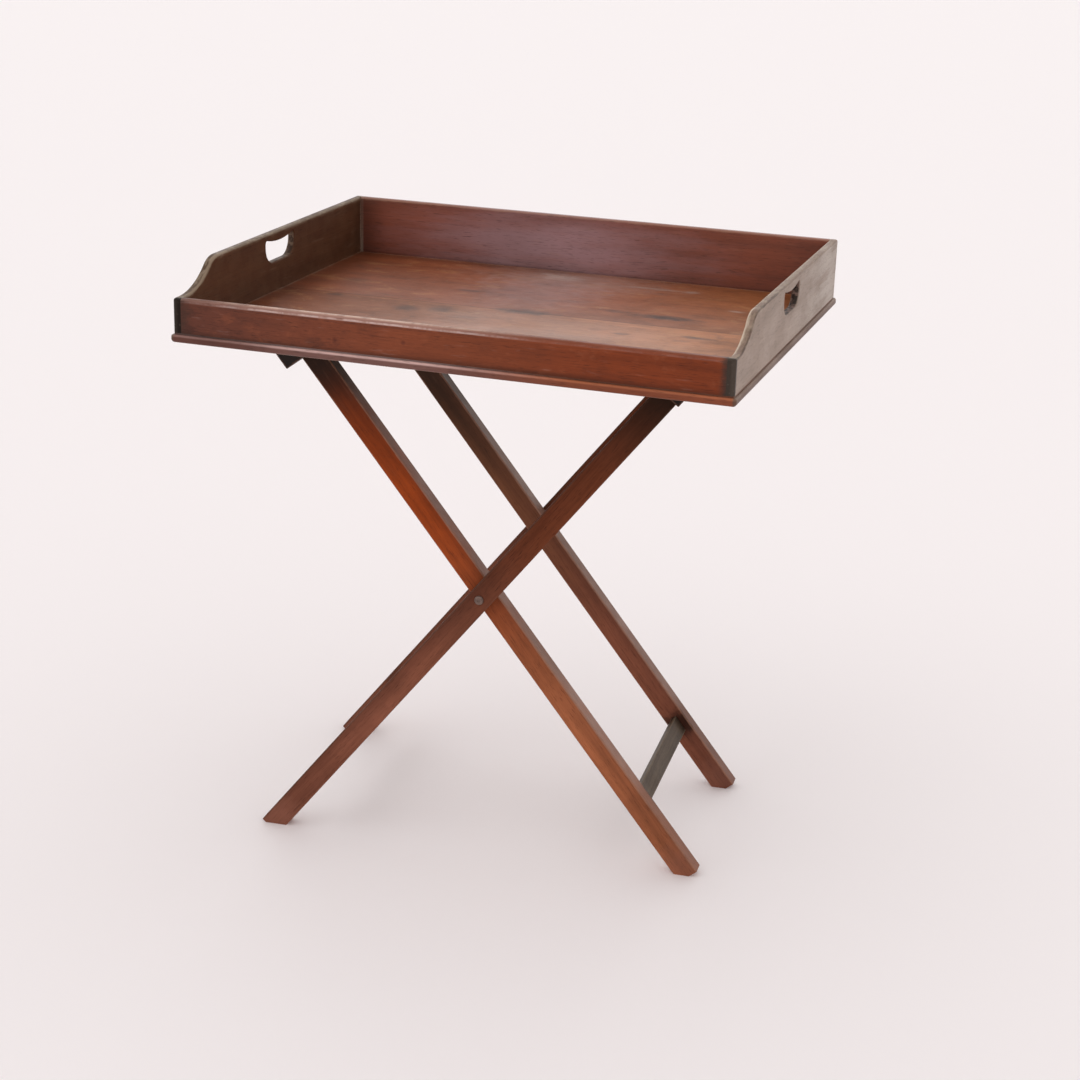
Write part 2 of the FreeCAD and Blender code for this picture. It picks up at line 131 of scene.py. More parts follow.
def rgb(red, green, blue):
    """A colour written as it looks on screen, 0 to 255, turned into the shader's linear light."""
    value = np.array((red, green, blue), float) / 255
    linear = np.where(value <= 0.04045, value / 12.92, ((value + 0.055) / 1.055) ** 2.4)
    return (*linear.tolist(), 1.0)


class Tree:
    """A node tree being filled, with short ways to add nodes and join them."""

    def __init__(self, tree):
        self.tree = tree

    def node(self, kind, sockets=None, **settings):
        made = self.tree.nodes.new(kind)
        for name, value in settings.items():
            setattr(made, name, value)
        for key, value in (sockets or {}).items():
            self.put(made.inputs[key], value)
        return made

    def put(self, socket, value):
        if isinstance(value, bpy.types.NodeSocket):
            self.tree.links.new(value, socket)
        else:
            socket.default_value = value

    def math(self, operation, *values):
        made = self.node("ShaderNodeMath", operation=operation)
        for socket, value in zip(made.inputs, values):
            self.put(socket, value)
        return made.outputs[0]

    def vector(self, operation, *values):
        made = self.node("ShaderNodeVectorMath", operation=operation)
        for socket, value in zip(made.inputs, values):
            self.put(socket, value)
        return made.outputs["Value" if operation in ("LENGTH", "DOT_PRODUCT") else "Vector"]

    def noise(self, vector, scale, detail=2.0, roughness=0.5, distortion=0.0):
        made = self.node("ShaderNodeTexNoise", {
            "Vector": vector, "Scale": scale, "Detail": detail, "Roughness": roughness,
            "Distortion": distortion})
        return made.outputs["Fac"]

    def span(self, value, low, high, to_low=0.0, to_high=1.0, smooth=True):
        made = self.node("ShaderNodeMapRange", {
            "Value": value, "From Min": low, "From Max": high, "To Min": to_low, "To Max": to_high},
            interpolation_type="SMOOTHSTEP" if smooth else "LINEAR")
        return made.outputs["Result"]

    def mix(self, factor, a, b, blend="MIX"):
        made = self.node("ShaderNodeMix", data_type="RGBA", blend_type=blend)
        self.put(made.inputs[0], factor)
        self.put(made.inputs[6], a)
        self.put(made.inputs[7], b)
        return made.outputs[2]

    def ramp(self, value, stops):
        made = self.node("ShaderNodeValToRGB", {"Fac": value})
        elements = made.color_ramp.elements
        while len(elements) < len(stops):
            elements.new(1.0)
        for element, (place, colour) in zip(elements, stops):
            element.position = place
            element.color = colour
        return made.outputs["Color"]

    def xyz(self, vector):
        return self.node("ShaderNodeSeparateXYZ", {"Vector": vector}).outputs

    def group(self, group, **sockets):
        made = self.node("ShaderNodeGroup", node_tree=group)
        for name, value in sockets.items():
            self.put(made.inputs[name.replace("_", " ")], value)
        return made.outputs


def new_group(name, inputs, outputs):
    """An empty shader node group with named sockets; gives its tree, its inputs and its output node."""
    group = bpy.data.node_groups.new(name, "ShaderNodeTree")
    kinds = {"v": "NodeSocketVector", "f": "NodeSocketFloat"}
    for label, kind, default in inputs:
        socket = group.interface.new_socket(label, in_out="INPUT", socket_type=kinds[kind])
        socket.default_value = default
    for label, kind in outputs:
        group.interface.new_socket(label, in_out="OUTPUT", socket_type=kinds[kind])
    tree = Tree(group)
    return tree, tree.node("NodeGroupInput").outputs, tree.node("NodeGroupOutput").inputs


def make_grain_group():
    """Mahogany grain: the coordinates are stretched along X, wandered by a slow noise, and read by noises
    of three widths: broad figure, fine streaks, and short dark pores."""
    tree, given, out = new_group(
        "mahogany_grain",
        [("Vector", "v", (0, 0, 0)), ("Seed", "f", 0.0)],
        [("Figure", "f"), ("Streaks", "f"), ("Pores", "f"), ("Ripple", "f")])
    shift = tree.vector("SCALE", (0.71, 1.93, 2.57))
    tree.put(shift.node.inputs["Scale"], given["Seed"])
    placed = tree.vector("ADD", given["Vector"], shift)
    slow = tree.node("ShaderNodeTexNoise", {"Vector": tree.vector("MULTIPLY", placed, (2.2, 9.0, 9.0)),
                                            "Scale": 1.0, "Detail": 2.0})
    wander = tree.vector("MULTIPLY", tree.vector("SUBTRACT", slow.outputs["Color"], (0.5, 0.5, 0.5)),
                         (0.0, 0.022, 0.022))
    grained = tree.vector("ADD", placed, wander)
    figure = tree.noise(tree.vector("MULTIPLY", grained, (1.6, 34.0, 34.0)), 1.0, 4.0, 0.55)
    streaks = tree.noise(tree.vector("MULTIPLY", grained, (7.0, 420.0, 420.0)), 1.0, 3.0, 0.6)
    pores = tree.noise(tree.vector("MULTIPLY", grained, (60.0, 1500.0, 1500.0)), 1.0, 1.0, 0.5)
    ripple = tree.noise(tree.vector("MULTIPLY", placed, (42.0, 6.0, 6.0)), 1.0, 2.0, 0.5, 0.6)
    tree.put(out["Figure"], figure)
    tree.put(out["Streaks"], streaks)
    tree.put(out["Pores"], tree.span(pores, 0.60, 0.72))
    tree.put(out["Ripple"], ripple)
    return tree.tree


def make_arris_group():
    """Worn edges of a board: the distances inward from the board's three pairs of faces; the middle one of
    the three is the distance to the nearest edge, which noises drawn out along X make uneven."""
    tree, given, out = new_group(
        "worn_arris",
        [("Vector", "v", (0, 0, 0)), ("Half", "v", (1, 1, 1)), ("Width", "f", 0.004), ("Seed", "f", 0.0)],
        [("Wear", "f")])
    inward = tree.vector("SUBTRACT", given["Half"], tree.vector("ABSOLUTE", given["Vector"]))
    x, y, z = tree.xyz(inward)
    low = tree.math("MINIMUM", x, y)
    high = tree.math("MAXIMUM", x, y)
    middle = tree.math("MAXIMUM", low, tree.math("MINIMUM", high, z))
    drawn = tree.vector("MULTIPLY", given["Vector"], (0.30, 1.0, 1.0))
    shifted = tree.vector("ADD", drawn, tree.node(
        "ShaderNodeCombineXYZ", {"X": given["Seed"], "Y": given["Seed"]}).outputs[0])
    rough = tree.noise(shifted, 190.0, 4.0, 0.65)
    patchy = tree.noise(shifted, 60.0, 2.0, 0.5)
    uneven = tree.math("ADD", tree.math("MULTIPLY", rough, 2.6), tree.math("MULTIPLY", patchy, 0.8))
    reach = tree.math("MULTIPLY", given["Width"], tree.math("SUBTRACT", uneven, 0.75))
    share = tree.math("DIVIDE", middle, tree.math("MAXIMUM", reach, 0.0002))
    tree.put(out["Wear"], tree.span(share, 1.0, 0.25))
    return tree.tree


def make_patina_group():
    """Uneven age: slow clouds of darkening, small scuffs that are drawn out along X, and fine dents."""
    tree, given, out = new_group(
        "patina",
        [("Vector", "v", (0, 0, 0)), ("Seed", "f", 0.0)],
        [("Clouds", "f"), ("Scuffs", "f"), ("Dents", "f")])
    shifted = tree.vector("ADD", given["Vector"], tree.node(
        "ShaderNodeCombineXYZ", {"X": given["Seed"], "Z": given["Seed"]}).outputs[0])
    clouds = tree.noise(shifted, 6.5, 4.0, 0.6, 0.3)
    scuffs = tree.noise(tree.vector("MULTIPLY", shifted, (22.0, 150.0, 150.0)), 1.0, 3.0, 0.6)
    dents = tree.noise(shifted, 130.0, 2.0, 0.5)
    tree.put(out["Clouds"], tree.span(clouds, 0.36, 0.66))
    tree.put(out["Scuffs"], tree.span(scuffs, 0.60, 0.74))
    tree.put(out["Dents"], dents)
    return tree.tree


def make_stain_group():
    """A stain: an ellipse about a centre in the X-Y plane, its rim broken up by a noise."""
    tree, given, out = new_group(
        "stain",
        [("Vector", "v", (0, 0, 0)), ("Centre", "v", (0, 0, 0)), ("Size", "v", (0.03, 0.01, 1.0))],
        [("Mask", "f")])
    away = tree.vector("DIVIDE", tree.vector("SUBTRACT", given["Vector"], given["Centre"]), given["Size"])
    flat = tree.vector("MULTIPLY", away, (1.0, 1.0, 0.0))
    ragged = tree.noise(tree.vector("MULTIPLY", given["Vector"], (55.0, 110.0, 1.0)), 1.0, 4.0, 0.65)
    edge = tree.math("ADD", tree.vector("LENGTH", flat), tree.math("MULTIPLY", ragged, 1.1))
    tree.put(out["Mask"], tree.span(edge, 1.62, 0.62))
    return tree.tree


GRAIN = make_grain_group()
ARRIS = make_arris_group()
PATINA = make_patina_group()
STAIN = make_stain_group()

# Colours of the wood, as the lit wood looks
FRONT_WOOD = rgb(128, 64, 38)
BACK_WOOD = rgb(136, 71, 51)
FLOOR_FRONT_WOOD = rgb(192, 124, 85)
FLOOR_REAR_WOOD = rgb(160, 93, 64)
INNER_END_WOOD = rgb(85, 53, 36)
# The ends' outer faces: pale, partly bleached wood and partly a painted sheen
OUTER_END_WOOD_AND_SHEEN = rgb(154, 134, 121)
LEG_WOODS = {"inner_front": rgb(157, 92, 60), "outer_front": rgb(121, 72, 55),
             "inner_rear": rgb(123, 71, 52), "outer_rear": rgb(121, 72, 55)}
# How a leg's colour is multiplied towards its top, and from where to where it turns near black: painted
# shade under the tray
LEG_TONES = {"inner_front": ((0.97, 0.50, 0.155, 1), (0.25, 0.39)),
             "outer_front": ((0.66, 0.50, 0.35, 1), (0.22, 0.42)),
             "inner_rear": ((0.76, 0.88, 0.74, 1), (0.00, 0.44)),
             "outer_rear": ((0.66, 0.50, 0.35, 1), (0.22, 0.42))}
# The leg frames: name, the side its legs lean to, their distance from the middle, seed, strength of age
# and painted shade, and gloss
LEG_FRAMES = (("inner", -1, INNER_LEG_Y, 41.0, 1.0, 0.42), ("outer", 1, OUTER_LEG_Y, 57.0, 0.2, 0.80))
# The stand's top rails, near black: painted shade under the tray
RAIL_WOOD = rgb(28, 17, 13)
LATH_WOOD = rgb(84, 68, 54)
# How the floor boards' colour is multiplied at their left end, in the middle and at their right end
FLOOR_TONES = {"front": ((0.40, 0.26, 0.15, 1), (0.76, 0.74, 0.71, 1), (0.98, 0.92, 0.67, 1)),
               "rear": ((0.66, 0.54, 0.38, 1), (0.92, 0.92, 0.90, 1), (0.98, 1.0, 0.62, 1))}
# Marks on the tray floor: X, Y, length, width and strength
FLOOR_STAINS = ((-0.157, -0.039, 0.026, 0.027, 0.60), (-0.110, -0.026, 0.027, 0.030, 0.55),
                (-0.066, -0.059, 0.050, 0.060, 0.30), (-0.279, -0.002, 0.018, 0.011, 0.55),
                (-0.119, 0.103, 0.032, 0.010, 0.55), (-0.293, 0.096, 0.030, 0.022, 0.35),
                (0.003, 0.011, 0.060, 0.020, 0.80), (0.190, 0.062, 0.072, 0.020, 0.90),
                (0.259, -0.034, 0.027, 0.010, 0.75), (0.161, -0.055, 0.016, 0.008, 0.55),
                (0.111, 0.071, 0.042, 0.013, 0.45))
FLOOR_SCRATCHES = ((-0.022, 0.250, 0.050, 0.028, 0.50), (0.127, 0.236, 0.070, 0.009, 0.36),
                   (0.183, 0.237, 0.014, 0.011, 0.40), (0.274, 0.143, 0.018, 0.008, 0.50))
# Pale hazes of painted sheen on the tray floor: place, size, strength and colour
FLOOR_SHEEN_HAZES = (((0.0, 0.235, 0), (0.20, 0.10, 1), 0.50, rgb(176, 144, 134)),
               ((-0.02, 0.14, 0), (0.13, 0.16, 1), 0.40, rgb(172, 148, 150)))
# Lines along the front rail's top, the pale ones partly rubbed wood and partly painted highlight, the first
# a
# darker line under them: depth below its top, half width, strength and colour
FRONT_LINES = ((0.0078, 0.0020, 0.40, rgb(62, 38, 34)), (0.0042, 0.0020, 0.72, rgb(216, 190, 184)),
               (0.0000, 0.0013, 0.66, rgb(218, 181, 160)))
# Filled nail holes in the front rail: X, and height over the base's underside
FRONT_NAILS = ((-0.149, 0.028), (-0.054, 0.034))
PALE_FLOOR = rgb(247, 240, 241)
# Near black: real grime in the wood's clouds, dirt by the stretchers and at the boards' joint, and painted
# shade along rail feet, the base's step and the stretchers' ends
GRIME_AND_SHADE = rgb(24, 15, 11)
PORE = rgb(34, 16, 11)
WORN = rgb(168, 122, 98)
# The left end's (-1) and the right end's (1) top edge, hand hole walls and end grain
TOP_EDGE = {-1: rgb(96, 77, 62), 1: rgb(150, 126, 112)}
# On the right end the hole walls are near black: painted shade inside the hand hole
HOLE_WALLS = {-1: (rgb(64, 47, 38), rgb(116, 94, 78)), 1: (rgb(22, 16, 14), rgb(112, 88, 80))}
END_GRAIN = {-1: rgb(20, 16, 13), 1: rgb(60, 53, 47)}


def shades(middle, spread=0.42):
    """A dark, a middle and a light shade of one wood; the light shade leans towards orange."""
    dark = tuple(c * (1 - spread) for c in middle[:3]) + (1.0,)
    lifts = (1 + 0.75 * spread, 1 + 0.85 * spread, 1 + 0.80 * spread)
    light = tuple(c * lift for c, lift in zip(middle, lifts)) + (1.0,)
    return dark, middle, light


def new_material(name):
    """An empty material with its Principled shader; gives the material, its tree and the shader."""
    material = bpy.data.materials.new(name)
    material.use_nodes = True
    tree = Tree(material.node_tree)
    shader = material.node_tree.nodes["Principled BSDF"]
    return material, tree, shader


def local_coordinates(tree, origin, along, across):
    """Object coordinates seen from a piece: X along its grain, Y across it, both from its own origin."""
    along = Vector(along).normalized()
    across = Vector(across).normalized()
    turn = Matrix((along, across, along.cross(across))).transposed().to_euler("XYZ")
    coordinates = tree.node("ShaderNodeTexCoord").outputs["Object"]
    mapping = tree.node("ShaderNodeMapping", {"Vector": coordinates, "Location": Vector(origin),
                                              "Rotation": turn}, vector_type="TEXTURE")
    return mapping.outputs["Vector"]


def waxed_wood(name, place, middle, seed, half=None, worn=0.6, worn_width=0.004, worn_colour=WORN,
               edges=None, fade=None, spread=0.42, ripple=0.12, grime=0.22, gloss=0.42, shine=0.35,
               wax=None, scuffs=0.12, extra=None):
    """Old waxed mahogany: shades laid out by the figure, darker streaks and pores, clouds of grime, worn
    edges, and a height from the pores, streaks and dents for the bump."""
    material, tree, shader = new_material(name)
    vector = local_coordinates(tree, *place)
    grain = tree.group(GRAIN, Vector=vector, Seed=seed)
    patina = tree.group(PATINA, Vector=vector, Seed=seed)
    dark, middle, light = shades(middle, spread)
    tone = tree.math("ADD", tree.math("MULTIPLY", grain["Figure"], 1 - ripple),
                     tree.math("MULTIPLY", grain["Ripple"], ripple))
    colour = tree.ramp(tone, ((0.34, dark), (0.50, middle), (0.68, light)))
    streak = tree.span(grain["Streaks"], 0.42, 0.70)
    colour = tree.mix(tree.math("MULTIPLY", streak, 0.40), colour, dark)
    if extra:
        colour = extra(tree, vector, colour)
    colour = tree.mix(tree.math("MULTIPLY", grain["Pores"], 0.50), colour, PORE)
    colour = tree.mix(tree.math("MULTIPLY", patina["Clouds"], grime), colour, GRIME_AND_SHADE)
    if half:
        rubbed = edges(tree, vector) if edges else vector
        wear = tree.group(ARRIS, Vector=rubbed, Half=half, Width=worn_width, Seed=seed)["Wear"]
        share = tree.math("MULTIPLY", fade(tree, vector), worn) if fade else worn
        colour = tree.mix(tree.math("MULTIPLY", wear, share), colour, worn_colour)
    colour = tree.mix(tree.math("MULTIPLY", patina["Scuffs"], scuffs), colour, worn_colour)
    tree.put(shader.inputs["Base Color"], colour)
    dulled = tree.math("ADD", tree.math("MULTIPLY", patina["Clouds"], 0.12),
                       tree.math("MULTIPLY", grain["Streaks"], 0.12))
    tree.put(shader.inputs["Roughness"], tree.math("ADD", dulled, gloss - 0.10))
    shader.inputs["Specular IOR Level"].default_value = shine
    if wax:
        tree.put(shader.inputs["Coat Weight"], wax(tree, vector))
        shader.inputs["Coat Roughness"].default_value = 0.22
    height = tree.math("SUBTRACT", tree.math("MULTIPLY", patina["Dents"], 0.6),
                       tree.math("MULTIPLY", grain["Pores"], 0.35))
    height = tree.math("ADD", height, tree.math("MULTIPLY", grain["Streaks"], 0.35))
    bump = tree.node("ShaderNodeBump", {"Height": height, "Strength": 0.20, "Distance": 0.0006})
    tree.put(shader.inputs["Normal"], bump.outputs["Normal"])
    return material


def upper_edges(tree, vector):
    """The board's coordinates with the lower half folded up to the middle, so only upper edges wear."""
    x, y, z = tree.xyz(vector)
    folded = tree.math("MAXIMUM", z, 0.0)
    return tree.node("ShaderNodeCombineXYZ", {"X": x, "Y": y, "Z": folded}).outputs[0]


def ogee_edges(tree, vector, half, kept):
    """An end's coordinates with Z measured from its own top line, which steps down at the front in an
    ogee; the step is read from a curve of the outline. Only the top edge of one face is kept: that of the
    face on the side of Y that the sign names."""
    x, y, z = tree.xyz(vector)
    along = tree.span(x, -RAIL_INSIDE, -RAIL_INSIDE + OGEE_RUN, smooth=False)
    curve = tree.node("ShaderNodeFloatCurve", {"Value": along})
    points = curve.mapping.curves[0].points
    points[0].location = (0.0, 0.0)
    points[1].location = (1.0, 1.0)
    for spot in OGEE_SHARES:
        points.new(*spot)
    curve.mapping.update()
    step = END_TOP - FRONT_TOP
    top = tree.math("ADD", tree.math("MULTIPLY", curve.outputs["Value"], step), half[2] - step)
    down = tree.math("SUBTRACT", top, z)
    folded = tree.math("MAXIMUM", tree.math("SUBTRACT", half[2], down), 0.0)
    one_face = tree.math("MAXIMUM", tree.math("MULTIPLY", y, kept), 0.0)
    return tree.node("ShaderNodeCombineXYZ", {"X": x, "Y": one_face, "Z": folded}).outputs[0]


def ogee_wear(tree, vector):
    """An end's front fall is rubbed more than its level top, but not at the very front."""
    x = tree.xyz(vector)[0]
    front = -TRAY_HALF[1]
    fall = tree.span(x, front + 0.150, front + 0.105, 0.40, 1.0)
    return tree.math("MULTIPLY", fall, tree.span(x, front + RAIL_THICKNESS, front + 0.026))


def front_rail_marks(tree, vector, colour):
    """The rail is mottled and dulls to purple at the left, with grime by the corner; two filled nail holes;
    dark end grain creeps in at the right. Its top has two pale lines, partly rubbed bare wood and partly a
    painted highlight, one on the crown and one where the rounding meets the face, with a darker line under
    them."""
    x, _, z = tree.xyz(vector)
    dull = tree.span(x, 0.02, -0.40)
    colour = tree.mix(tree.math("MULTIPLY", dull, 0.66), colour, rgb(80, 49, 43))
    redder = tree.span(x, -0.02, 0.26)
    colour = tree.mix(redder, colour, tree.mix(1.0, colour, (0.92, 0.70, 0.44, 1), "MULTIPLY"))
    mottle = tree.noise(tree.vector("MULTIPLY", vector, (26.0, 44.0, 44.0)), 1.0, 5.0, 0.64, 0.3)
    blotches = tree.span(mottle, 0.50, 0.70, 0.0, 0.50)
    blotches = tree.math("MULTIPLY", blotches, tree.span(x, 0.0, -0.2, 0.3, 1.0))
    colour = tree.mix(blotches, colour, rgb(58, 33, 27))
    colour = tree.mix(tree.span(mottle, 0.46, 0.30, 0.0, 0.30), colour, rgb(150, 82, 54))
    # Painted shade: the rail's foot is darkened where it meets the base's step.
    foot = tree.span(z, -FRONT_HALF_HEIGHT + 0.007, -FRONT_HALF_HEIGHT)
    colour = tree.mix(tree.math("MULTIPLY", foot, 0.40), colour, GRIME_AND_SHADE)
    waver = tree.noise(tree.vector("MULTIPLY", vector, (38.0, 8.0, 8.0)), 1.0, 4.0, 0.7)
    depth = tree.math("ADD", tree.math("SUBTRACT", FRONT_HALF_HEIGHT, z),
                      tree.span(waver, 0.3, 0.7, -0.0003, 0.0003))
    middle_left = tree.span(tree.math("ABSOLUTE", tree.math("ADD", x, 0.115)), 0.26, 0.10, 0.10, 1.0)
    broken = tree.math("MULTIPLY", middle_left, tree.span(waver, 0.36, 0.60, 0.25, 1.0))
    # Partly rubbed wood and partly painted highlight: a paler crown and two pale lines along the top, with a
    # darker line under them.
    crown = tree.math("MULTIPLY", tree.span(depth, 0.0064, 0.0044), middle_left)
    colour = tree.mix(tree.math("MULTIPLY", crown, 0.58), colour, rgb(170, 131, 118))
    for level, width, strength, tint in FRONT_LINES:
        off = tree.math("ABSOLUTE", tree.math("SUBTRACT", depth, level))
        line = tree.math("MULTIPLY", tree.span(off, width, 0.2 * width), broken)
        colour = tree.mix(tree.math("MULTIPLY", line, strength), colour, tint)
    for nail_x, nail_height in FRONT_NAILS:
        off_x = tree.math("SUBTRACT", x, nail_x)
        off_z = tree.math("SUBTRACT", z, BASE_BOTTOM + nail_height - FRONT_MIDDLE)
        away = tree.math("SQRT", tree.math("ADD", tree.math("POWER", off_x, 2.0),
                                           tree.math("POWER", off_z, 2.0)))
        filled = tree.span(away, 0.0046, 0.0010, 0.0, 0.45)
        colour = tree.mix(filled, colour, rgb(64, 24, 18))
    grimy = tree.math("ADD", x, tree.math("MULTIPLY", tree.noise(vector, 60.0, 4.0, 0.6), 0.05))
    by_corner = tree.span(grimy, -TRAY_HALF[0] + 0.052, -TRAY_HALF[0] + 0.026)
    colour = tree.mix(tree.math("MULTIPLY", by_corner, 0.60), colour, rgb(52, 42, 35))
    ragged = tree.math("MULTIPLY", tree.noise(vector, 130.0, 3.0, 0.6), 0.010)
    reach = tree.math("ADD", x, ragged)
    corner = tree.span(reach, END_INSIDE - 0.006, END_INSIDE + 0.006)
    return tree.mix(tree.math("MULTIPLY", corner, 0.90), colour, rgb(58, 47, 41))


def back_rail_marks(tree, vector, colour):
    """A lavender bloom on the wax, left of the middle, fading out in streaks; the inner face is darkened by
    the left end as painted shade, with pale filler in the corner itself."""
    x, y, z = tree.xyz(vector)
    from_bloom = tree.vector("SUBTRACT", vector, (-0.06, 0.0, -0.005))
    away = tree.vector("LENGTH", tree.vector("DIVIDE", from_bloom, (0.28, 1.0, 0.064)))
    streaks = tree.noise(tree.vector("MULTIPLY", vector, (9.0, 60.0, 60.0)), 1.0, 4.0, 0.6)
    bloom = tree.span(tree.math("ADD", away, tree.math("MULTIPLY", streaks, 0.9)), 1.65, 0.45)
    colour = tree.mix(tree.math("MULTIPLY", bloom, 0.72), colour, rgb(176, 143, 150))
    # Painted shade: a dark line along the rail's foot, where it meets the floor.
    foot = tree.span(z, -END_HALF_HEIGHT + 0.0045, -END_HALF_HEIGHT + 0.001)
    colour = tree.mix(tree.math("MULTIPLY", foot, 0.25), colour, GRIME_AND_SHADE)
    # Painted shade: the inner face darkens towards the corner with the left end.
    inside = tree.span(y, 0.002, -0.002)
    from_end = tree.math("ADD", x, END_INSIDE)
    by_end = tree.math("MULTIPLY", inside, tree.span(from_end, 0.050, 0.008, 0.0, 0.50))
    colour = tree.mix(by_end, colour, rgb(62, 32, 22))
    filler = tree.math("MULTIPLY", inside, tree.span(from_end, 0.0056, 0.0036))
    filler = tree.math("MULTIPLY", filler, tree.span(z, 0.030, -0.040, 0.35, 0.80))
    return tree.mix(filler, colour, rgb(138, 117, 102))


def end_marks(tree, vector, colour, side, half):
    """The inside of an end is dark and its outside pale, partly bleached wood and partly a painted sheen,
    more so towards the back, with a dark line along the front of its outer top edge; the walls of its hand
    hole are chipped, and near black on the right end as painted shade; its end grain at the front is near
    black, and dust lies in the corner with the back rail."""
    x, y, z = tree.xyz(vector)
    mottle = tree.span(tree.noise(vector, 38.0, 4.0, 0.6), 0.36, 0.66)
    colour = tree.mix(tree.math("MULTIPLY", mottle, 0.30), colour, rgb(102, 74, 54))
    corner = tree.span(x, RAIL_INSIDE - 0.0035, RAIL_INSIDE - 0.001)
    broken = tree.span(tree.noise(vector, 110.0, 3.0, 0.6), 0.35, 0.60, 0.2, 0.75)
    colour = tree.mix(tree.math("MULTIPLY", corner, broken), colour, rgb(158, 134, 116))
    from_outside = ogee_edges(tree, vector, half, -side)
    top = tree.span(tree.xyz(from_outside)[2], half[2] - 0.0030, half[2] - 0.0010)
    patches = tree.noise(tree.vector("MULTIPLY", vector, (60.0, 130.0, 60.0)), 1.0, 3.0, 0.6)
    rubbed = tree.mix(tree.span(patches, 0.46, 0.62, 0.0, 0.45), TOP_EDGE[side], rgb(178, 160, 138))
    colour = tree.mix(tree.math("MULTIPLY", top, 0.80), colour, rubbed)
    streaks = tree.noise(tree.vector("MULTIPLY", vector, (7.0, 55.0, 55.0)), 1.0, 4.0, 0.6)
    # The outer face is pale: partly bleached wood, partly a painted sheen, paler towards the back.
    pale = tree.mix(tree.span(x, -0.06, 0.27), OUTER_END_WOOD_AND_SHEEN, rgb(168, 154, 144))
    pale = tree.mix(tree.span(streaks, 0.40, 0.72), pale, rgb(140, 121, 108))
    outside = tree.span(tree.math("MULTIPLY", y, side), 0.002, -0.002)
    colour = tree.mix(tree.math("MULTIPLY", outside, tree.math("SUBTRACT", 1.0, top)), colour, pale)
    line = tree.group(ARRIS, Vector=from_outside, Half=half, Width=0.0030, Seed=5.0 + side)["Wear"]
    line = tree.math("MULTIPLY", line, tree.span(x, 0.04, -0.16, 0.10, 0.62))
    colour = tree.mix(line, colour, rgb(62, 50, 43))
    off_x = tree.math("ABSOLUTE", tree.math("SUBTRACT", x, HAND_HOLE_Y))
    off_z = tree.math("ABSOLUTE", tree.math("SUBTRACT", z, HAND_HOLE_Z - END_MIDDLE))
    half_long, half_high = HAND_HOLE[0] / 2, HAND_HOLE[1] / 2
    by_hole = tree.math("MULTIPLY", tree.span(off_x, half_long + 0.002, half_long + 0.001),
                        tree.span(off_z, half_high + 0.002, half_high + 0.001))
    wall = tree.span(tree.math("ABSOLUTE", y), END_THICKNESS / 2 - 0.0004, END_THICKNESS / 2 - 0.0020)
    chips = tree.span(tree.noise(vector, 125.0, 3.0, 0.6), 0.42, 0.60)
    # Chipped walls; on the right end their near-black tone is painted shade inside the hole.
    hole_wall_tone = tree.mix(chips, *HOLE_WALLS[side])
    colour = tree.mix(tree.math("MULTIPLY", tree.math("MULTIPLY", by_hole, wall), 0.90), colour, hole_wall_tone)
    ragged = tree.math("MULTIPLY", tree.noise(vector, 150.0, 3.0, 0.6), 0.004)
    front = tree.span(tree.math("ADD", x, ragged), -TRAY_HALF[1] + 0.011, -TRAY_HALF[1] + 0.004)
    return tree.mix(tree.math("MULTIPLY", front, 0.92), colour, END_GRAIN[side])


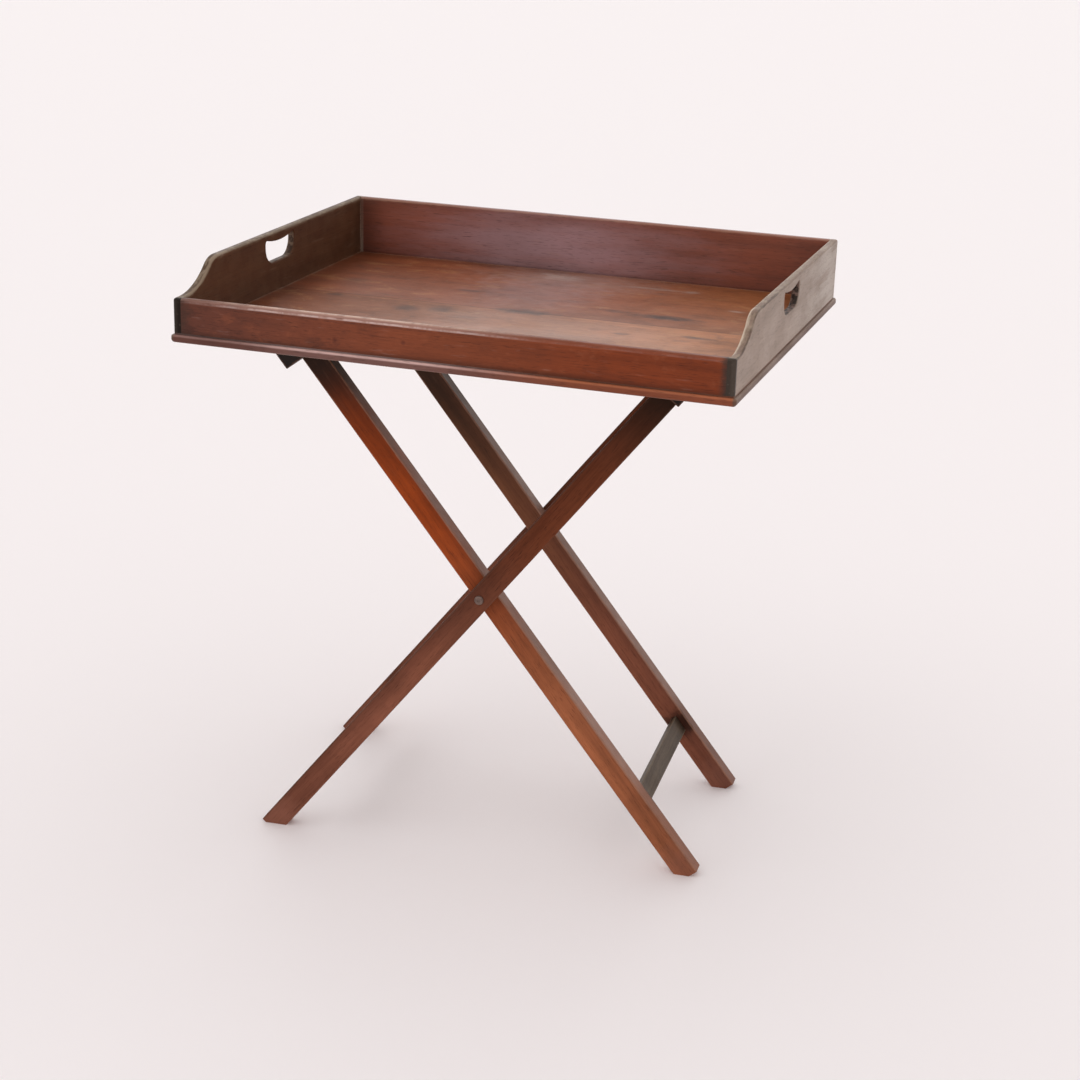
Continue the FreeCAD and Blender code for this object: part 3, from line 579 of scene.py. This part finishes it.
def floor_marks(tree, vector, colour, tones):
    """The tray floor's tone changes along its length; it is mottled, with pale hazes of painted sheen, has
    dark drawn-out stains, pale scratches and flecks, dust along its ends, painted shade darkening it near
    both ends, and a dark line at the boards' joint. Outside the gallery is the moulded edge."""
    x, y, _ = tree.xyz(vector)
    edge = moulded_edge(tree, vector, colour)
    along = tree.span(x, -TRAY_HALF[0], TRAY_HALF[0], smooth=False)
    tone = tree.ramp(along, ((0.06, tones[0]), (0.55, tones[1]), (0.95, tones[2])))
    colour = tree.mix(1.0, colour, tone, "MULTIPLY")
    mottle = tree.noise(tree.vector("MULTIPLY", vector, (20.0, 30.0, 30.0)), 1.0, 5.0, 0.62, 0.4)
    colour = tree.mix(tree.span(mottle, 0.50, 0.72, 0.0, 0.46), colour, rgb(92, 54, 34))
    colour = tree.mix(tree.span(mottle, 0.46, 0.30, 0.0, 0.34), colour, rgb(196, 140, 92))
    # Painted sheen: pale hazes in the middle and by the back rail.
    for place, size, strength, tint in FLOOR_SHEEN_HAZES:
        sheen_haze = tree.group(STAIN, Vector=vector, Centre=place, Size=size)["Mask"]
        colour = tree.mix(tree.math("MULTIPLY", sheen_haze, strength), colour, tint)
    for spots, tint in ((FLOOR_STAINS, rgb(50, 38, 37)), (FLOOR_SCRATCHES, rgb(200, 178, 168))):
        for spot_x, spot_y, length, width, strength in spots:
            mask = tree.group(STAIN, Vector=vector, Centre=(spot_x, spot_y, 0),
                              Size=(length, width, 1))["Mask"]
            colour = tree.mix(tree.math("MULTIPLY", mask, strength), colour, tint)
    flecks = tree.noise(tree.vector("MULTIPLY", vector, (150.0, 300.0, 300.0)), 1.0, 1.0)
    colour = tree.mix(tree.span(flecks, 0.74, 0.80, 0.0, 0.45), colour, rgb(206, 184, 166))
    off_joint = tree.math("ABSOLUTE", tree.math("SUBTRACT", y, BOARD_JOINT_Y))
    joint = tree.span(off_joint, 0.0022, 0.0004)
    colour = tree.mix(tree.math("MULTIPLY", joint, 0.45), colour, GRIME_AND_SHADE)
    off_middle = tree.math("ABSOLUTE", x)
    by_end = tree.span(off_middle, END_INSIDE - 0.0060, END_INSIDE - 0.0015)
    by_back = tree.span(y, RAIL_INSIDE - 0.012, RAIL_INSIDE, 0.0, 0.6)
    broken = tree.span(tree.noise(vector, 70.0, 4.0, 0.6), 0.36, 0.62, 0.12, 0.62)
    dust = tree.math("MULTIPLY", tree.math("MAXIMUM", by_end, by_back), broken)
    colour = tree.mix(dust, colour, rgb(158, 134, 116))
    # Painted shade: the floor darkens near both ends.
    shade_near_ends = tree.span(off_middle, END_INSIDE - 0.070, END_INSIDE - 0.010, 0.0, 0.45)
    colour = tree.mix(shade_near_ends, colour, rgb(64, 31, 18))
    return tree.mix(outside_gallery(tree, vector), colour, edge)


def moulded_edge(tree, vector, colour):
    """The base's edge: a step darkened as painted shade, a nosing with a painted highlight above (partly
    rubbed wood) and shaded below, and the bare underside.
    """
    x, _, z = tree.xyz(vector)
    bare = tree.mix(1.0, colour, (0.40, 0.38, 0.36, 1), "MULTIPLY")
    # Painted highlight along the nosing's upper rounding, partly rubbed wood.
    rubbed = tree.mix(tree.span(x, 0.18, -0.05), rgb(172, 98, 64), rgb(210, 172, 165))
    rubbed = tree.mix(tree.span(x, -0.18, -0.31, 0.0, 0.9), rubbed, rgb(136, 96, 87))
    at_side = tree.span(tree.math("ABSOLUTE", x), TRAY_HALF[0] - 0.003, TRAY_HALF[0] + 0.001)
    rubbed = tree.mix(tree.math("MULTIPLY", at_side, 0.9), rubbed, rgb(114, 92, 76))
    lower = tree.span(z, BASE_BOTTOM + 0.0098, BASE_BOTTOM + 0.0072)
    shaded = tree.mix(tree.span(x, -0.05, 0.25), rgb(86, 41, 29), rgb(124, 60, 34))
    shaded = tree.mix(tree.math("MULTIPLY", at_side, 0.8), shaded, rgb(88, 68, 56))
    edge = tree.mix(tree.math("MULTIPLY", lower, 0.86), rubbed, shaded)
    edge = tree.mix(tree.span(z, BASE_BOTTOM + 0.0016, BASE_BOTTOM + 0.0004), edge, bare)
    # Painted shade in the step between the gallery's face and the nosing.
    step = tree.span(z, FLOOR_TOP - 0.0024, FLOOR_TOP - 0.0016)
    return tree.mix(tree.math("MULTIPLY", step, tree.span(at_side, 0.0, 1.0, 0.75, 0.25)), edge, GRIME_AND_SHADE)


def outside_gallery(tree, vector):
    """A mask that is 0 on the tray floor and 1 on the base's edge and underside."""
    x, y, z = tree.xyz(vector)
    past_side = tree.span(tree.math("ABSOLUTE", x), TRAY_HALF[0] - 0.004, TRAY_HALF[0] - 0.002)
    past_front = tree.span(tree.math("ABSOLUTE", y), TRAY_HALF[1] - 0.004, TRAY_HALF[1] - 0.002)
    below = tree.span(z, FLOOR_TOP - 0.0006, FLOOR_TOP - 0.0014)
    return tree.math("MAXIMUM", tree.math("MAXIMUM", past_side, past_front), below)


def floor_wax(tree, vector):
    """The coat of wax on the tray floor: thick in the middle and in front, thin at both ends, patchy."""
    x, y, _ = tree.xyz(vector)
    off_middle = tree.math("ABSOLUTE", tree.math("SUBTRACT", x, 0.07))
    coat = tree.span(off_middle, 0.32, 0.02, 0.0, 0.56)
    coat = tree.math("MULTIPLY", coat, tree.span(y, -0.12, 0.26, 1.0, 0.62))
    patches = tree.noise(tree.vector("MULTIPLY", vector, (5.0, 11.0, 11.0)), 1.0, 3.0, 0.6)
    coat = tree.math("MULTIPLY", coat, tree.span(patches, 0.32, 0.60, 0.72, 1.10))
    return tree.math("MULTIPLY", coat, tree.math("SUBTRACT", 1.0, outside_gallery(tree, vector)))


def left_of_middle(tree, vector):
    """A fade from full at the left half of a rail to little at its right end."""
    return tree.span(tree.xyz(vector)[0], 0.16, -0.06, 0.16, 1.0)


def leg_marks(tree, vector, colour, upper_tint, dark_span, upper_side, inner_side, age_and_shade):
    """Towards its top a leg is redder, then nearly black under the tray as painted shade, and its foot is
    scuffed. At full age-and-shade strength a leg darkens towards its upper narrow face as painted shade;
    that face is dusty with a painted sheen, and the leg has dirt on its inner side at the stretcher. At less
    strength it is dark round its pivot and has painted shade on its upper narrow face."""
    x, y, z = tree.xyz(vector)
    colour = tree.mix(tree.span(x, -0.22, 0.16), colour, tree.mix(1.0, colour, upper_tint, "MULTIPLY"))
    foot = tree.span(tree.math("ADD", x, tree.math("MULTIPLY", tree.noise(vector, 60.0, 3.0, 0.6), 0.05)),
                     -0.40, -0.45)
    colour = tree.mix(tree.math("MULTIPLY", foot, 0.45), colour, rgb(136, 88, 72))
    off_pivot = tree.math("ABSOLUTE", tree.math("ADD", x, 0.02))
    colour = tree.mix(tree.span(off_pivot, 0.12, 0.02, 0.0, 0.36 * (1 - age_and_shade)), colour, rgb(44, 32, 28))
    level = tree.math("MULTIPLY", z, upper_side)
    # Painted shade: lit and shaded copies of the colour, darker towards the upper narrow face.
    shaded = tree.span(level, -LEG_WIDTH / 2, LEG_WIDTH / 2, 0.0, 0.46 * age_and_shade, smooth=False)
    colour = tree.mix(shaded, tree.mix(1.0, colour, (1.14, 1.14, 1.14, 1), "MULTIPLY"),
                      tree.mix(1.0, colour, (0.55, 0.55, 0.60, 1), "MULTIPLY"))
    # The upper narrow face: greyish dust and a painted sheen.
    dust_and_sheen = tree.span(level, LEG_WIDTH / 2 - 0.0030, LEG_WIDTH / 2 - 0.0008)
    settled = tree.span(tree.noise(vector, 40.0, 4.0, 0.6), 0.30, 0.62, 0.55, 0.85)
    settled = tree.math("MULTIPLY", settled, tree.span(x, -0.46, -0.26, 0.35 * age_and_shade, age_and_shade))
    colour = tree.mix(tree.math("MULTIPLY", dust_and_sheen, settled), colour, rgb(142, 110, 97))
    # Painted shade on the upper narrow face, strongest on the outer legs.
    colour = tree.mix(tree.math("MULTIPLY", dust_and_sheen, 0.7 * (1 - age_and_shade)), colour, rgb(64, 38, 29))
    off_lath = tree.math("ABSOLUTE", tree.math("ADD", x, STRETCHER_BELOW))
    ragged = tree.math("MULTIPLY", tree.noise(vector, 120.0, 3.0, 0.6), 0.024)
    dirt = tree.math("MULTIPLY", tree.span(tree.math("ADD", off_lath, ragged), 0.038, 0.022),
                     tree.span(tree.math("MULTIPLY", y, inner_side), 0.006, 0.011))
    colour = tree.mix(tree.math("MULTIPLY", dirt, 0.72 * age_and_shade), colour, GRIME_AND_SHADE)
    # Painted shade: nearly black under the tray.
    shade_under_tray = tree.span(x, *dark_span)
    return tree.mix(tree.math("MULTIPLY", shade_under_tray, 0.95), colour, rgb(33, 22, 14))


def lath_marks(tree, vector, colour):
    """A stretcher is darkest where it enters the legs: painted shade."""
    x = tree.xyz(vector)[0]
    shade_near_leg = tree.span(tree.math("ABSOLUTE", x), INNER_LEG_Y - 0.040, INNER_LEG_Y - 0.010)
    return tree.mix(tree.math("MULTIPLY", shade_near_leg, 0.55), colour, GRIME_AND_SHADE)


def paint(node, material):
    """Gives a CAD node its material."""
    mesh = nodes[node].data
    mesh.materials.clear()
    mesh.materials.append(material)


def tray_wood():
    """Materials of the tray's boards; the ends' grain runs front to back, the others' along the tray."""
    front_half = (END_INSIDE + PAST_END, RAIL_THICKNESS / 2, FRONT_HALF_HEIGHT)
    front_middle = (0, -TRAY_HALF[1] + RAIL_THICKNESS / 2, FRONT_MIDDLE)
    paint("front_rail", waxed_wood(
        "front_rail_wood", (front_middle, (1, 0, 0), (0, 1, 0)), FRONT_WOOD, 3.1, front_half, 0.30, 0.0045,
        rgb(178, 142, 132), upper_edges, left_of_middle, spread=0.28, ripple=0.04, grime=0.12, shine=0.16,
        extra=front_rail_marks))
    back_half = (END_INSIDE + PAST_END, RAIL_THICKNESS / 2, END_HALF_HEIGHT)
    back_middle = (0, TRAY_HALF[1] - RAIL_THICKNESS / 2, END_MIDDLE)
    paint("back_rail", waxed_wood(
        "back_rail_wood", (back_middle, (1, 0, 0), (0, 1, 0)), BACK_WOOD, 7.7, back_half, 0.45, 0.004,
        edges=upper_edges, spread=0.32, ripple=0.05, grime=0.14, shine=0.5, extra=back_rail_marks))
    for node, side, seed, rubbed in (("left_end", -1, 12.4, rgb(146, 126, 106)),
                                     ("right_end", 1, 18.9, rgb(208, 188, 168))):
        middle = (side * (TRAY_HALF[0] - END_THICKNESS / 2), 0, END_MIDDLE)
        half = (TRAY_HALF[1] + PAST_END, END_THICKNESS / 2, END_HALF_HEIGHT)

        def inner_edge(tree, vector, half=half, side=side):
            return ogee_edges(tree, vector, half, side)

        def marks(tree, vector, colour, side=side, half=half):
            return end_marks(tree, vector, colour, side, half)

        paint(node, waxed_wood(
            node + "_wood", (middle, (0, 1, 0), (-1, 0, 0)), INNER_END_WOOD, seed, half, 0.85, 0.006,
            rubbed, inner_edge, ogee_wear, spread=0.30, grime=0.14, shine=0.10, extra=marks))
    for board, wood, seed in (("front", FLOOR_FRONT_WOOD, 23.3), ("rear", FLOOR_REAR_WOOD, 29.8)):
        node = "base_board_" + board

        def marks(tree, vector, colour, tones=FLOOR_TONES[board]):
            return floor_marks(tree, vector, colour, tones)

        paint(node, waxed_wood(node + "_wood", ((0, 0, 0), (1, 0, 0), (0, 1, 0)), wood, seed, spread=0.18,
                               gloss=0.46, shine=0.25, wax=floor_wax, extra=marks))


def leg_direction(side):
    """The direction up a leg that leans to the side of the stand's X that the sign names."""
    return STAND_X * (side * math.sin(LEAN)) + UP * math.cos(LEAN)


def stand_wood():
    """Materials of the legs, top rails and stretchers, each with its grain along its length."""
    for frame_name, side, leg_y, seed, age_and_shade, gloss in LEG_FRAMES:
        up_leg = leg_direction(side)
        leg_half = (LEG_BELOW_PIVOT + PAST_END, LEG_THICKNESS / 2, LEG_WIDTH / 2)
        for place_name, sign in (("front", -1), ("rear", 1)):
            middle = PIVOT + STAND_Y * (sign * leg_y)
            node = frame_name + "_leg_" + place_name
            wood = LEG_WOODS[frame_name + "_" + place_name]
            tint, dark_span = LEG_TONES[frame_name + "_" + place_name]

            def marks(tree, vector, colour, given=(tint, dark_span, side, -sign, age_and_shade)):
                return leg_marks(tree, vector, colour, *given)

            paint(node, waxed_wood(
                node + "_wood", (middle, up_leg, STAND_Y), wood, seed + 3.3 * sign, leg_half, 0.4 * age_and_shade,
                0.0025, spread=0.38, ripple=0.06, gloss=gloss, shine=0.10, scuffs=0.04, extra=marks))
        rail_middle = PIVOT + up_leg * (LEG_OVER_PIVOT + TOP_RAIL[2] / 2)
        rail_half = (TOP_RAIL[0] / 2, TOP_RAIL[2] / 2, TOP_RAIL[1] / 2)
        paint(frame_name + "_top_rail", waxed_wood(
            frame_name + "_top_rail_wood", (rail_middle, STAND_Y, up_leg), RAIL_WOOD, seed + 8.1, rail_half,
            0.2, 0.0025, shine=0.16, scuffs=0.04))
        lath_middle = PIVOT - up_leg * STRETCHER_BELOW
        lath_half = (leg_y + PAST_END, STRETCHER_WIDTH / 2, STRETCHER_THICKNESS / 2)
        paint(frame_name + "_stretcher", waxed_wood(
            frame_name + "_stretcher_wood", (lath_middle, STAND_Y, up_leg), LATH_WOOD, seed + 13.7,
            lath_half, 0.30, 0.003, rgb(136, 118, 98), shine=0.10, scuffs=0.06, extra=lath_marks))


def dull_iron():
    """Old iron: a dark grey with brown clouds of rust and rubbed lighter spots."""
    material, tree, shader = new_material("dull_iron")
    vector = tree.node("ShaderNodeTexCoord").outputs["Object"]
    clouds = tree.noise(vector, 210.0, 4.0, 0.6)
    spots = tree.noise(vector, 900.0, 2.0, 0.5)
    colour = tree.ramp(clouds, ((0.35, rgb(86, 68, 60)), (0.55, rgb(120, 99, 90)), (0.72, rgb(102, 75, 61))))
    tree.put(shader.inputs["Base Color"], colour)
    shader.inputs["Metallic"].default_value = 0.40
    tree.put(shader.inputs["Roughness"], tree.span(clouds, 0.3, 0.7, 0.42, 0.66))
    bump = tree.node("ShaderNodeBump", {"Height": spots, "Strength": 0.25, "Distance": 0.0002})
    tree.put(shader.inputs["Normal"], bump.outputs["Normal"])
    return material


def webbing():
    """Old jute webbing: warp and weft bands read from the strap's own length and width, fibres, dirt, and a
    dark red stripe along each selvedge."""
    material, tree, shader = new_material("webbing")
    uv = tree.node("ShaderNodeUVMap", uv_map="UVMap").outputs["UV"]
    u, v, _ = tree.xyz(uv)
    warp = tree.math("SINE", tree.math("MULTIPLY", v, 2 * math.pi / WARP_PITCH))
    weft = tree.math("SINE", tree.math("MULTIPLY", u, 2 * math.pi / WEFT_PITCH))
    woven = tree.span(tree.math("MULTIPLY", warp, weft), -1.0, 1.0, smooth=False)
    fibres = tree.noise(tree.vector("MULTIPLY", uv, (180.0, 2600.0, 1.0)), 1.0, 3.0, 0.6)
    dirt = tree.noise(uv, 26.0, 4.0, 0.6)
    colour = tree.mix(woven, rgb(98, 78, 54), rgb(158, 134, 98))
    colour = tree.mix(tree.math("MULTIPLY", fibres, 0.45), colour, rgb(178, 156, 118))
    colour = tree.mix(tree.span(dirt, 0.42, 0.75, 0.0, 0.55), colour, rgb(66, 50, 36))
    edge = tree.math("SUBTRACT", STRAP_WIDTH / 2, tree.math("ABSOLUTE", v))
    stripe = tree.math("MULTIPLY", tree.span(edge, 0.0045, 0.0050), tree.span(edge, 0.0095, 0.0090))
    colour = tree.mix(tree.math("MULTIPLY", stripe, 0.55), colour, rgb(104, 44, 34))
    tree.put(shader.inputs["Base Color"], colour)
    shader.inputs["Roughness"].default_value = 0.9
    shader.inputs["Specular IOR Level"].default_value = 0.2
    height = tree.math("ADD", woven, tree.math("MULTIPLY", fibres, 0.5))
    bump = tree.node("ShaderNodeBump", {"Height": height, "Strength": 0.5, "Distance": 0.0004})
    tree.put(shader.inputs["Normal"], bump.outputs["Normal"])
    return material


def band_section(width, thickness, columns=22, turns=5):
    """A webbing's cross section: two level rows joined by half-round selvedges. Gives, point by point round
    the section, the place across the width and the height from -1/2 to 1/2 of the thickness."""
    radius = thickness / 2
    across = np.linspace(-(width / 2 - radius), width / 2 - radius, columns)
    bend = np.linspace(-math.pi / 2, math.pi / 2, turns + 2)[1:-1]
    right_t, right_n = width / 2 - radius + radius * np.cos(bend), radius * np.sin(bend)
    place = np.concatenate((across, right_t, across[::-1], -right_t[::-1]))
    height = np.concatenate((np.full(columns, -radius), right_n, np.full(columns, radius), right_n[::-1]))
    return place, height


def band(name, path, normals, sideways, width, thickness, material):
    """A webbing band: its section carried along a path, one row of points to each place on the path, each
    point = path + sideways * place across + normal * height; a herringbone of sine ribs lifts the faces."""
    path, normals = np.asarray(path, float), np.asarray(normals, float)
    steps = np.linalg.norm(np.diff(path, axis=0), axis=1)
    along = np.concatenate(((0.0,), np.cumsum(steps)))
    place, height = band_section(width, thickness)
    ribs = np.sin(2 * math.pi * (along[:, None] + RIB_SLOPE * np.abs(place)[None, :]) / RIB_PITCH)
    flat = np.abs(height) > 0.49 * thickness
    lifted = height[None, :] * (1 - np.where(flat[None, :], RIB_SWING * (1 - ribs), 0.0))
    points = path[:, None, :] + np.asarray(sideways)[None, None, :] * place[None, :, None]
    points = points + normals[:, None, :] * lifted[:, :, None]
    rows, columns = lifted.shape
    index = np.arange(rows * columns).reshape(rows, columns)
    ahead = np.roll(index, -1, axis=1)
    quads = np.stack((index[:-1], ahead[:-1], ahead[1:], index[1:]), axis=-1).reshape(-1, 4)
    mesh = bpy.data.meshes.new(name)
    caps = [index[0][::-1].tolist(), index[-1].tolist()]
    mesh.from_pydata(points.reshape(-1, 3).tolist(), [], quads.tolist() + caps)
    uv = np.stack((np.repeat(along, columns), np.tile(place, rows)), axis=-1)
    corners = np.empty(len(mesh.loops), int)
    mesh.loops.foreach_get("vertex_index", corners)
    mesh.uv_layers.new(name="UVMap").data.foreach_set("uv", uv[corners].ravel())
    mesh.polygons.foreach_set("use_smooth", np.ones(len(mesh.polygons), bool))
    mesh.materials.append(material)
    made = bpy.data.objects.new(name, mesh)
    bpy.context.scene.collection.objects.link(made)
    return made


def make_straps():
    """Two webbing straps from rail to rail, and their four ends, turned down over the rails."""
    material = webbing()
    reach = STRAP_HINGE - Vector((0, 0, STRAP_HINGE.z))
    span_length = 2 * reach.length
    for place_name, sign in (("front", -1), ("rear", 1)):
        middle = STAND_Y * (sign * STRAP_SPACING / 2)
        share = np.linspace(-0.5, 0.5, STRAP_ROWS)
        level = STRAP_HINGE.z + STRAP_THICKNESS / 2
        path = np.array([middle + STAND_X * (s * span_length) + UP * level for s in share])
        normals = np.tile(np.array(UP), (len(path), 1))
        strap = band(place_name + "_webbing", path, normals, STAND_Y, STRAP_WIDTH, STRAP_THICKNESS, material)
        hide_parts(place_name + "_strap")
        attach(strap, "straps")
        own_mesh(strap)
    for frame_name, side in (("inner", -1), ("outer", 1)):
        up_leg = leg_direction(side)
        outward = STAND_X * (side * math.cos(LEAN)) - UP * math.sin(LEAN)
        corner = STAND_X * (side * reach.length) + UP * STRAP_HINGE.z
        for place_name, sign in (("front", -1), ("rear", 1)):
            start = corner + STAND_Y * (sign * STRAP_SPACING / 2) + outward * (STRAP_THICKNESS / 2)
            drop = np.linspace(0.0, STRAP_END_LENGTH, STRAP_END_ROWS)
            path = np.array([start - up_leg * d for d in drop])
            normals = np.tile(np.array(outward), (len(path), 1))
            sideways = STAND_Y * side
            end = band(frame_name + "_webbing_end_" + place_name, path, normals, sideways, STRAP_WIDTH,
                       STRAP_THICKNESS, material)
            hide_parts(frame_name + "_strap_ends")
            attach(end, frame_name + "_frame")


def make_camera():
    """The photograph's camera: a place, a direction by yaw and pitch, a small roll, and its lens."""
    yaw, pitch, roll = (math.radians(turn) for turn in CAMERA_TURNS)
    ahead = Vector((-math.sin(yaw) * math.cos(pitch), math.cos(yaw) * math.cos(pitch), math.sin(pitch)))
    right = Vector((math.cos(yaw), math.sin(yaw), 0))
    above = right.cross(ahead)
    rolled_right = right * math.cos(roll) + above * math.sin(roll)
    rolled_above = above * math.cos(roll) - right * math.sin(roll)
    data = bpy.data.cameras.new("camera")
    data.sensor_width = SENSOR_WIDTH
    data.lens = SENSOR_WIDTH * LENS_PIXELS / PICTURE_PIXELS
    data.clip_end = 100.0
    camera = bpy.data.objects.new("camera", data)
    turn = Matrix((rolled_right, rolled_above, -ahead)).transposed().to_4x4()
    camera.matrix_world = Matrix.Translation(CAMERA_PLACE) @ turn
    bpy.context.scene.collection.objects.link(camera)
    bpy.context.scene.camera = camera


def make_floor():
    """A plain pale floor, one large square."""
    mesh = bpy.data.meshes.new("floor")
    corners = [(x * FLOOR_REACH, y * FLOOR_REACH, 0) for x, y in ((-1, -1), (1, -1), (1, 1), (-1, 1))]
    mesh.from_pydata(corners, [], [(0, 1, 2, 3)])
    floor = bpy.data.objects.new("floor", mesh)
    bpy.context.scene.collection.objects.link(floor)
    material, _, shader = new_material("pale_floor")
    shader.inputs["Base Color"].default_value = PALE_FLOOR
    shader.inputs["Roughness"].default_value = 0.6
    mesh.materials.append(material)


def make_light():
    """A bright pale room, brightest low down and behind the table, and one broad soft lamp."""
    world = bpy.data.worlds.new("room")
    bpy.context.scene.world = world
    world.use_nodes = True
    tree = Tree(world.node_tree)
    background = world.node_tree.nodes["Background"]
    direction = tree.node("ShaderNodeTexCoord").outputs["Generated"]
    level = tree.vector("DOT_PRODUCT", direction, ROOM_SLOPE)
    tree.put(background.inputs["Strength"], tree.math("ADD", level, ROOM_LEVEL))
    background.inputs["Color"].default_value = ROOM_TINT
    lamp = bpy.data.lights.new("soft_sun", "SUN")
    lamp.energy = LAMP_ENERGY
    lamp.angle = LAMP_ANGLE
    sun = bpy.data.objects.new("soft_sun", lamp)
    sun.rotation_euler = Vector(LAMP_AHEAD).to_track_quat("-Z", "Y").to_euler()
    bpy.context.scene.collection.objects.link(sun)


bpy.context.scene.view_settings.view_transform = "Standard"
make_camera()
make_floor()
make_light()
tray_wood()
stand_wood()
make_straps()
iron = dull_iron()
for node in ("pivot_bolt_front", "pivot_bolt_rear", "pivot_spacers", "pivot_burrs", "pivot_nuts",
             "corner_brads", "base_screws", "inner_strap_tacks", "outer_strap_tacks"):
    paint(node, iron)
